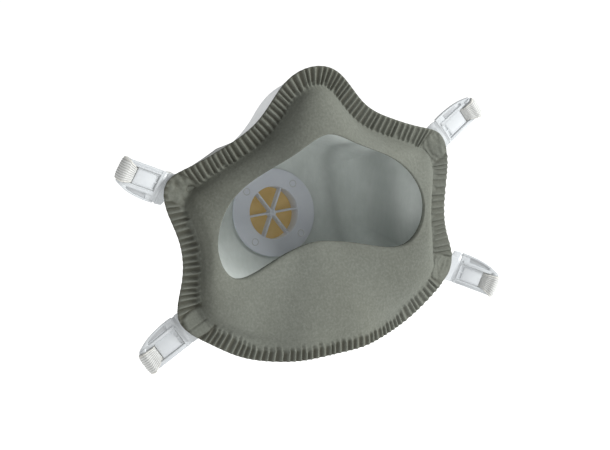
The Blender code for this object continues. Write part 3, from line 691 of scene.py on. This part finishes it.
# ------------------------------------------------------------------ straps
def rib_ribbon(name, left, right, body, thickness=STRAP_T, ribs=10, across=61, wave=0.3, crown=None):
    left, right = np.asarray(left, float), np.asarray(right, float)
    mid = 0.5 * (left + right)
    run = unit(np.gradient(mid, axis=0))
    n = unit(np.cross(run, unit(right - left)))
    s = np.linspace(0, 1, across)
    n_rows = len(mid)
    ribv = np.abs(np.sin(np.pi * ribs * s)) ** 0.7
    half = thickness / 2
    prof_edge = np.sqrt(np.clip(1 - np.clip((np.abs(s - 0.5) - 0.46) / 0.04, 0, 1) ** 2, 0.05, 1))
    verts, rb, ed = [], [], []
    for side in (1, -1):
        for i in range(n_rows):
            base = left[i] * (1 - s)[:, None] + right[i] * s[:, None]
            if crown is not None:
                base = base + crown[i] * (1 - (2 * s - 1) ** 4)[:, None]
            h = (half - wave + wave * ribv) * prof_edge
            verts.append(base + n[i] * (side * h)[:, None])
            rb.append(ribv)
            e = np.clip((np.abs(s - 0.5) - 0.40) / 0.05, 0, 1) * (1 - np.clip((np.abs(s - 0.5) - 0.47) / 0.02, 0, 1)) * 0.3
            ed.append(e)
    verts = np.array(verts).reshape(-1, 3)
    tot = n_rows * across
    faces = grid_faces(n_rows, across, 0, wrap=False) + grid_faces(n_rows, across, tot, wrap=False, flip=True)
    for i in range(n_rows - 1):
        a = i * across
        faces.append((a, a + across, tot + a + across, tot + a))
        b = i * across + across - 1
        faces.append((b, tot + b, tot + b + across, b + across))
    for i in range(across - 1):
        faces.append((i, tot + i, tot + i + 1, i + 1))
        a = (n_rows - 1) * across + i
        faces.append((a, a + 1, tot + a + 1, tot + a))
    obj = make(name, verts, faces, body, M_ELASTIC)
    paint(obj, "rib", np.array(rb).reshape(-1)); paint(obj, "edge", np.array(ed).reshape(-1))
    return obj


def smooth_path(points, per=6):
    """Catmull-Rom through points, any dimension."""
    p = np.asarray(points, float)
    q = np.vstack([2 * p[0] - p[1], p, 2 * p[-1] - p[-2]])
    out = []
    for i in range(1, len(q) - 2):
        for k in range(per):
            t = k / per
            out.append(0.5 * ((2 * q[i]) + (-q[i-1] + q[i+1]) * t + (2*q[i-1] - 5*q[i] + 4*q[i+1] - q[i+2]) * t*t + (-q[i-1] + 3*q[i] - 3*q[i+1] + q[i+2]) * t**3))
    out.append(p[-1])
    return np.array(out)


# ------------------------------------------------------------------ buckles
def build_buckle(key, cad_base):
    hinge, d, w, n = buckle_axes(key)
    body = "buckle_" + key
    P = lambda outline, z0, z1, b=0.22: prism_part(hinge, d, w, n, outline, z0, z1, b)
    curve = smooth_path([(0.7, 9.3), (4.0, 9.4), (8.0, 9.2), (12.0, 8.7), (16.0, 7.8), (19.0, 6.7), (21.2, 5.7), (22.0, 4.9), (21.6, 4.5)], 5)
    outer_edge = [tuple(c) for c in curve]
    parts = []
    # tongue between the living hinge and the window
    parts.append(P(rounded([(0.7, -6.3), (2.4, -6.3), (2.4, 9.3), (0.7, 9.3)], 0.2), -0.5, 0.35))
    parts.append(P(rounded([(1.5, -4.8), (2.45, -4.8), (2.45, 4.8), (1.5, 4.8)], 0.15), 0.2, 0.62, 0.12))
    # far-side rail, stepped: a low shelf and a raised inner lip
    parts.append(P(rounded([(2.2, -6.3), (20.0, -6.3), (20.0, -4.1), (2.2, -4.1)], 0.2), -0.8, 0.15))
    parts.append(P(rounded([(2.2, -4.95), (18.9, -4.95), (18.9, -4.15), (2.2, -4.15)], 0.15), 0.0, 0.85, 0.18))
    # near rail: broad, level
    parts.append(P(rounded([(2.2, 4.1), (19.6, 4.1), (19.6, 5.5), (2.2, 5.9)], 0.2), -0.8, 0.85))
    parts.append(P(rounded([(2.2, 4.1), (18.4, 4.1), (18.4, 4.45), (2.2, 4.45)], 0.1), 0.6, 0.98, 0.1))
    # wing: thin recessed floor, raised curved rim, raised end
    floor = [(0.7, 5.6)] + [(u, v - 0.4) for u, v in outer_edge if u < 19.5] + [(19.6, 5.2)]
    parts.append(P(floor, -0.75, -0.15, 0.1))
    rim_in = [(u, v - 0.85 - 0.25 * smoothstep(np.array(u), 14, 19)) for u, v in outer_edge if u < 20.0]
    band = outer_edge[:len(rim_in)] + rim_in[::-1]
    parts.append(P(band, -0.8, 0.6, 0.15))
    end_block = [(16.3, 5.3), (16.3, 7.3)] + [(u, v - 0.05) for u, v in outer_edge if u > 16.8] + [(20.2, 4.5), (18.5, 4.6)]
    parts.append(P(end_block, -0.8, 0.7, 0.15))
    parts.append(P(rounded([(0.7, 5.6), (5.5, 5.7), (4.5, 9.2), (0.7, 9.2)], 0.3), -0.6, 0.3, 0.15))
    # end bar and its round boss
    bar = [hinge + d * BAR_U + w * v for v in np.linspace(-6.1, 5.2, 12)]
    parts.append(tube_part(bar, BAR_R, 20))
    boss = [hinge + d * (BAR_U - 0.2) + w * v for v in (4.6, 5.0, 5.4)]
    parts.append(tube_part(boss, 1.75, 24))
    v, f = join_parts(parts)
    obj = make("buckle_frame_%s_moulding" % key, v, f, body, M_BUCKLE, sharp=40)
    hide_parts("buckle_frame_" + key)
    # crescent recess in the wing, coloured darker as painted shade
    cres = [(u, vv - 1.0) for u, vv in outer_edge if 5.0 < u < 15.8]
    cres = cres + [(15.8, 6.2), (5.6, 6.4)]
    v, f = P(cres, -0.17, -0.08, 0.03)
    obj = make("buckle_recess_%s" % key, v, f, body, M_RECESS_SHADE)
    # lock flap with three narrow bridges
    piv = hinge - n * 0.3
    L = lambda outline, z0, z1, b=0.12: prism_part(piv, d, w, n, outline, z0, z1, b)
    parts = [L(rounded([(4.1, -3.85), (14.1, -3.85), (14.1, 3.85), (4.1, 3.85)], 0.35), -0.42, 0.42, 0.15), L([(2.66, -3.8), (4.3, -3.8), (4.3, 3.8), (2.66, 3.8)], -0.3, -0.12, 0.03)]
    for vc, hw in ((-3.55, 0.28), (0.0, 0.3), (3.55, 0.28)):
        parts.append(L([(2.66, vc - hw), (4.3, vc - hw), (4.3, vc + hw), (2.66, vc + hw)], -0.3, 0.3, 0.06))
    parts.append(L(rounded([(4.5, -3.3), (13.6, -3.3), (13.6, 3.3), (4.5, 3.3)], 0.5), 0.3, 0.5, 0.1))
    v, f = join_parts(parts)
    obj = make("buckle_lock_%s_flap" % key, v, f, "lock_" + key, M_LOCK, sharp=40)
    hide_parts("buckle_lock_" + key)


def strap_loop(key, start_l, start_r):
    """The strap from the band's end over the hinge, along the front and round the end bar."""
    hinge, d, w, n = buckle_axes(key)
    run = [(2.2, -2.15), (6.0, -2.15), (10.0, -2.15), (14.0, -2.15), (17.0, -2.2), (BAR_U - 1.2, -2.28)]
    radius = BAR_R + 0.35 + STRAP_T / 2
    for k in range(9):
        a = math.radians(-80 + 22.0 * k)
        run.append((BAR_U + radius * math.cos(a) * 1.05, radius * math.sin(a)))
    run += [(17.4, 1.75), (16.2, 0.95), (15.3, 0.0), (14.8, -0.8)]
    width = [5.0] * 5 + [5.2] + [5.4] * (len(run) - 11) + [4.9, 4.3, 3.6, 3.5, 3.4]
    mids = [-0.4] * 5 + [-0.7] + [STRAP_V] * (len(run) - 11) + [-0.7, -0.4, -0.1, 0.0, 0.0]
    line = smooth_path([(u, h, m, b) for (u, h), m, b in zip(run, mids, width)], 6)
    left = [hinge + d * u + n * h + w * (m - b) for u, h, m, b in line]
    right = [hinge + d * u + n * h + w * (m + b) for u, h, m, b in line]
    if np.linalg.norm(start_l - left[0]) > np.linalg.norm(start_r - left[0]):
        start_l, start_r = start_r, start_l
    lead = [0.0, 0.33, 0.66]
    left = [start_l * (1 - t) + left[0] * t for t in lead] + left
    right = [start_r * (1 - t) + right[0] * t for t in lead] + right
    centre = hinge + d * BAR_U
    crown = []
    for l_, r_ in zip(left, right):
        out = 0.5 * (l_ + r_) - centre
        out = out - w * (out @ w)
        u_ = (0.5 * (l_ + r_) - hinge) @ d
        crown.append(unit(out) * 0.75 * float(smoothstep(np.array(u_), BAR_U - 1.5, BAR_U + 0.8)))
    obj = rib_ribbon("strap_end_%s_loop" % key, left, right, None, crown=crown)
    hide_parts("strap_end_" + key)
    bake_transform(obj)


def cad_tree(shaped=False):
    rim, inward, width, at, total, grid, normal = shell_grid(60, shaped=shaped)
    rows = len(grid)
    bl = np.array([0.0, 0.0, 0.6] + [1.0] * (rows - 3))[:, None, None]
    (_, r1), (_, c1) = LAYERS["outer_shell"]
    top = grid + normal * (r1 + (c1 - r1) * bl)
    count = top.shape[1]
    seal = resample(closed_curve(RIM_HALF, 16), count)[0] + (0, SEAL_T, 0)
    verts = [Vector(v) for v in np.vstack([seal[None], top]).reshape(-1, 3)]
    faces = []
    for r in range(rows):
        for k in range(count):
            a, b = r * count + k, r * count + (k + 1) % count
            faces += [(a, b, b + count), (a, b + count, a + count)]
    return BVHTree.FromPolygons(verts, faces), top


def depth(tree, x, z):
    hit = tree.ray_cast(Vector((x, 120.0, z)), Vector((0, -1, 0)))
    return hit[0].y if hit[0] is not None else None


LENGTHS = {"ur": 11.0, "ul": 10.0, "lr": 14.0, "ll": 10.0}


def base_plane(key, tree):
    hinge, d, w, n = buckle_axes(key)
    back, best = -d, None
    for k in range(-60, 61):
        a = math.radians(k)
        slope = back * math.cos(a) + n * math.sin(a)
        up = -n * math.cos(a) + back * math.sin(a)
        ok = True
        for u in np.linspace(0.8, LENGTHS[key], 12):
            for v in (-6.0, -3.0, 0.0, 3.0, 6.0):
                p = hinge + slope * u + w * v - up * 0.6
                y = depth(tree, p[0], p[2])
                if y is not None and p[1] < y + 0.35:
                    ok = False
                    break
            if not ok:
                break
        if ok:
            best = (slope, up)
    return best


def build_straps_and_bases():
    tree, top = cad_tree()
    place = {}
    for key in BUCKLES:
        hinge, d, w, n = buckle_axes(key)
        slope, up = base_plane(key, tree)
        place[key] = (hinge, d, w, n, slope, up)
        L = LENGTHS[key]
        o1 = rounded([(0.7, -6.3), (L - 1.0, -6.3), (L, -5.3), (L, 5.3), (L - 1.0, 6.3), (0.7, 6.3)], 0.4)
        o2 = rounded([(2.2, -4.8), (L - 1.8, -4.8), (L - 1.8, 4.8), (2.2, 4.8)], 0.8)
        parts = [prism_part(hinge, slope, w, up, rounded([(0.7, 5.0), (6.0, 5.0), (4.5, 9.0), (0.7, 9.3)], 0.3), -0.5, 0.1, 0.12), prism_part(hinge, slope, w, up, o1, -0.6, 0.35, 0.18), prism_part(hinge, slope, w, up, o2, 0.2, 0.6, 0.15)]
        v, f = join_parts(parts)
        obj = make("buckle_base_%s_plate" % key, v, f, "mask", M_BUCKLE, sharp=40)
        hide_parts("buckle_base_" + key)
        # living hinge: a thin web from the base plate to the buckle frame
        rows = []
        for t in np.linspace(0, 1, 9):
            a = hinge + slope * 0.9 * (1 - t) ** 1.0 if t < 0.5 else hinge + d * 0.9 * t
            a = (hinge + slope * 0.9) * (1 - t) + (hinge + d * 0.9) * t
            nn = unit((up * (1 - t) - n * t))
            rows.append((a, nn))
        verts = []
        for sgn in (-1, 1):
            for a, nn in rows:
                for v_ in np.linspace(-6.1, 8.9 if key != "x" else 6.0, 2):
                    verts.append(a + w * v_ + nn * sgn * 0.18)
        m = len(rows)
        faces = []
        for i in range(m - 1):
            a0 = 2 * i
            faces.append((a0, a0 + 1, a0 + 3, a0 + 2)); b0 = 2 * m + a0
            faces.append((b0, b0 + 2, b0 + 3, b0 + 1))
            faces.append((a0, a0 + 2, b0 + 2, b0)); faces.append((a0 + 1, b0 + 1, b0 + 3, a0 + 3))
        faces.append((0, 2 * m, 2 * m + 1, 1)); e = 2 * (m - 1); faces.append((e, e + 1, 2 * m + e + 1, 2 * m + e))
        obj = make("living_hinge_%s" % key, verts, faces, None, M_BUCKLE)
        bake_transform(obj)

    def ends(lk, rk):
        out = []
        for key in (lk, rk):
            hinge, d, w, n, slope, up = place[key]
            out.append((hinge + slope * 3.0 + up * 2.2 + w * STRAP_V, w if w[2] > 0 else -w))
        return out

    # upper band
    (p0, w0), (p1, w1) = ends("ul", "ur")
    edges = []
    for sign in (-1, 1):
        a, b = p0 + w0 * sign * STRAP_W / 2, p1 + w1 * sign * STRAP_W / 2
        line = [a]
        for k in range(1, 40):
            t = k / 40
            bell = math.sin(math.pi * t) ** 0.5
            x = a[0] * (1 - t) + b[0] * t
            z = (a[2] * (1 - t) + b[2] * t) * (1 - bell) + (17.0 + sign * STRAP_W / 2) * bell
            y = depth(tree, x, z)
            line.append(np.array([x, (y if y is not None else -50.0) + 2.8, z]))
        line.append(b); line = np.array(line)
        keep = []
        for p in line:
            while len(keep) > 1:
                o, q = keep[-2], keep[-1]
                if (q[0] - o[0]) * (p[1] - o[1]) - (q[1] - o[1]) * (p[0] - o[0]) >= 0:
                    keep.pop()
                else:
                    break
            keep.append(p)
        keep = np.array(keep)
        line[:, 1] = np.interp(line[:, 0], keep[:, 0], keep[:, 1])
        edges.append(line)
    obj = rib_ribbon("strap_upper_band", smooth_path(edges[0], 3), smooth_path(edges[1], 3), "mask")
    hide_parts("strap_upper")
    strap_loop("ul", edges[0][0], edges[1][0]); strap_loop("ur", edges[0][-1], edges[1][-1])
    # lower band
    (p0, w0), (p1, w1) = ends("ll", "lr")
    middle = {-1: np.array([0.0, 20.5, -52.6]), 1: np.array([0.0, 31.2, -52.2])}
    edges = []
    for sign in (-1, 1):
        a, b = p0 + w0 * sign * STRAP_W / 2, p1 + w1 * sign * STRAP_W / 2
        line = []
        for k in range(31):
            s = 2 * k / 30 - 1
            f_ = (math.sqrt((s * 5.0) ** 2 + 1) - 1) / (math.sqrt(26.0) - 1)
            end = a if s < 0 else b
            point = middle[sign] * (1 - f_) + end * f_
            point[0] = end[0] * abs(s)
            line.append(point)
        edges.append(np.array(line))
    obj = rib_ribbon("strap_lower_band", smooth_path(edges[0], 3), smooth_path(edges[1], 3), "mask")
    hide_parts("strap_lower")
    strap_loop("ll", edges[0][0], edges[1][0]); strap_loop("lr", edges[0][-1], edges[1][-1])
    return top


def build_clip(top):
    count = top.shape[1]
    order = [k % count for k in range(-7, 8)]
    a = np.array([top[2, k] * 0.75 + top[3, k] * 0.25 for k in order]); b = np.array([top[2, k] * 0.15 + top[3, k] * 0.85 for k in order])
    mid = 0.5 * (a + b)
    run = unit(np.gradient(mid, axis=0)); wide = unit(b - a)
    nrm = unit(np.cross(run, wide))
    if nrm[7] @ np.array([0, 0, 1.0]) < 0:
        nrm = -nrm
    a = smooth_path(mid - wide * 2.5 + nrm * 0.95, 6); b = smooth_path(mid + wide * 2.5 + nrm * 0.95, 6)
    n = len(a)
    across = 11
    s = np.linspace(0, 1, across)
    m = 0.5 * (a + b); nr = unit(np.cross(unit(np.gradient(m, axis=0)), unit(b - a)))
    if nr[n // 2] @ np.array([0, 0, 1.0]) < 0:
        nr = -nr
    # rounded plan ends and two pressed grooves along the strip
    t = np.linspace(0, 1, n)
    endw = np.sqrt(np.clip(1 - np.clip((np.abs(t - 0.5) - 0.475) / 0.025, 0, 1) ** 2, 0.03, 1))
    verts = []
    for side in (1, -1):
        for i in range(n):
            ss = 0.5 + (s - 0.5) * endw[i]
            base = a[i] * (1 - ss)[:, None] + b[i] * ss[:, None]
            h = 0.4 - 0.12 * (np.abs(s - 0.5) > 0.47) - (0.14 * np.exp(-((np.abs(s - 0.5) - 0.2) / 0.05) ** 2) if side == 1 else 0)
            verts.append(base + nr[i] * (side * h)[:, None])
    verts = np.array(verts).reshape(-1, 3); tot = n * across
    faces = grid_faces(n, across, 0, wrap=False) + grid_faces(n, across, tot, wrap=False, flip=True)
    for i in range(n - 1):
        p = i * across; faces.append((p, p + across, tot + p + across, tot + p))
        q = p + across - 1; faces.append((q, tot + q, tot + q + across, q + across))
    for i in range(across - 1):
        faces.append((i, tot + i, tot + i + 1, i + 1)); p = (n - 1) * across + i; faces.append((p, p + 1, tot + p + 1, tot + p))
    obj = make("nose_clip_strip", verts, faces, "mask", M_CLIP)
    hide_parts("nose_clip")


# ------------------------------------------------------------------ camera
az, el, roll = math.radians(-26.0), math.radians(22.53), math.radians(-0.39)
back = Vector((math.sin(az) * math.cos(el), -math.cos(az) * math.cos(el), math.sin(el)))
right0 = Vector((math.cos(az), math.sin(az), 0)); up0 = back.cross(right0)
right = right0 * math.cos(roll) + up0 * math.sin(roll); up = right0 * -math.sin(roll) + up0 * math.cos(roll)
cam = bpy.data.objects.new("camera", bpy.data.cameras.new("camera"))
scene.collection.objects.link(cam)
cam.data.sensor_width = 36.0; cam.data.lens = 1440.0 * 36.0 / 610.0
cam.data.clip_start, cam.data.clip_end = 0.05, 10.0
rot = Matrix((right, up, back)).transposed()
cam.matrix_world = Matrix.Translation(Vector((-7.83, 0, 1.61)) * MM + back * 0.6665) @ rot.to_4x4()
scene.camera = cam

# ------------------------------------------------------------------ build
build_seal()
build_shells()
build_valve()
for key in BUCKLES:
    build_buckle(key, None)
top = build_straps_and_bases()
build_clip(cad_tree(True)[1])

# ------------------------------------------------------------------ stage and light
floor_mesh = bpy.data.meshes.new("floor")
s_, z_ = 3.0, -0.35
floor_mesh.from_pydata([(-s_, -s_, z_), (s_, -s_, z_), (s_, s_, z_), (-s_, s_, z_)], [], [(0, 1, 2, 3)])
floor = bpy.data.objects.new("floor", floor_mesh); scene.collection.objects.link(floor)
fm, fnt, fb = new_mat("floor_paper", rough=0.9)
fb.inputs["Base Color"].default_value = (0.9, 0.9, 0.9, 1)
fb.inputs["Emission Color"].default_value = (1, 1, 1, 1); fb.inputs["Emission Strength"].default_value = 0.72
floor_mesh.materials.append(fm)

world = bpy.data.worlds.new("studio"); scene.world = world; world.use_nodes = True
wt = world.node_tree
wc = wt.nodes.new("ShaderNodeTexCoord"); ws = wt.nodes.new("ShaderNodeSeparateXYZ")
wt.links.new(wc.outputs["Generated"], ws.inputs[0])
wt.links.new(ramp(wt, ws.outputs["Z"], [(0.0, (1.02, 1.02, 1.02, 1)), (0.14, (1.0, 1.0, 1.0, 1)), (0.4, (0.3, 0.3, 0.3, 1)), (1.0, (0.25, 0.25, 0.25, 1))]), wt.nodes["Background"].inputs["Color"])
wt.nodes["Background"].inputs["Strength"].default_value = 1.0


def area(name, loc, target, size, power, color=(1, 1, 1)):
    light = bpy.data.lights.new(name, "AREA"); light.shape = "DISK"; light.size = size; light.energy = power; light.color = color
    o = bpy.data.objects.new(name, light); scene.collection.objects.link(o)
    o.location = loc
    o.rotation_mode = "QUATERNION"
    o.rotation_quaternion = (Vector(target) - Vector(loc)).to_track_quat("-Z", "Y")
    return o


area("key", (0.92, -0.56, 0.60), (0, 0.02, 0), 0.42, 17.0)
